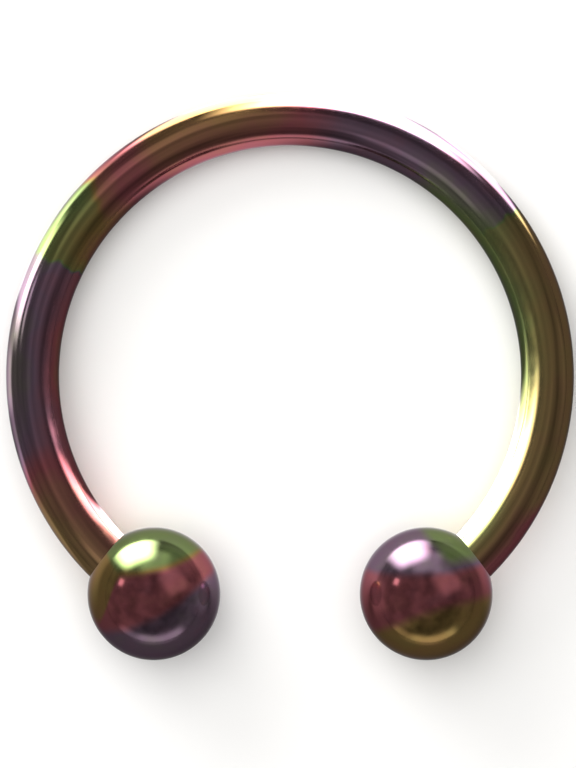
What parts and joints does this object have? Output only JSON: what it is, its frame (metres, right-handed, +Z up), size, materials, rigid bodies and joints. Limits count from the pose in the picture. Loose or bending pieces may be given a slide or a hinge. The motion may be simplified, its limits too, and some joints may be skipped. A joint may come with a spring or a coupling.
{
  "type": "horseshoe barbell",
  "caption": "Horseshoe barbell for a body piercing: an open circle of round anodised titanium wire with a screw-on ball on each end.",
  "frame": {"origin": "on the table, under the middle of the whole piece as it lies on its side", "axes": "+Z up from the table; the mouth between the balls faces -Y and the far side of the bar +Y; ball_left is at -X. The circle leans back by 4.8 degrees, because the balls are thicker than the wire"},
  "size_m": [0.0172, 0.0172, 0.004],
  "materials": {
    "anodised_bar": "polished titanium, anodised in soft bands of violet, rose, gold and green",
    "anodised_ball_left": "polished titanium, anodised green, gold, rose and violet in slanting bands",
    "anodised_ball_right": "polished titanium, anodised violet, green, rose and gold in slanting bands"
  },
  "bodies": {
    "bar": {"curved_bar": "anodised_bar"},
    "left_ball": {"ball_left": "anodised_ball_left"},
    "right_ball": {"ball_right": "anodised_ball_right"}
  },
  "joints": [
    {"name": "left_ball_unscrews", "type": "slide", "parent": "bar", "child": "left_ball", "axis": [0.789, -0.6123, 0.0511], "range_m": [0, 0.0024]},
    {"name": "right_ball_unscrews", "type": "slide", "parent": "bar", "child": "right_ball", "axis": [-0.789, -0.6123, 0.0511], "range_m": [0, 0.0024]}
  ]
}
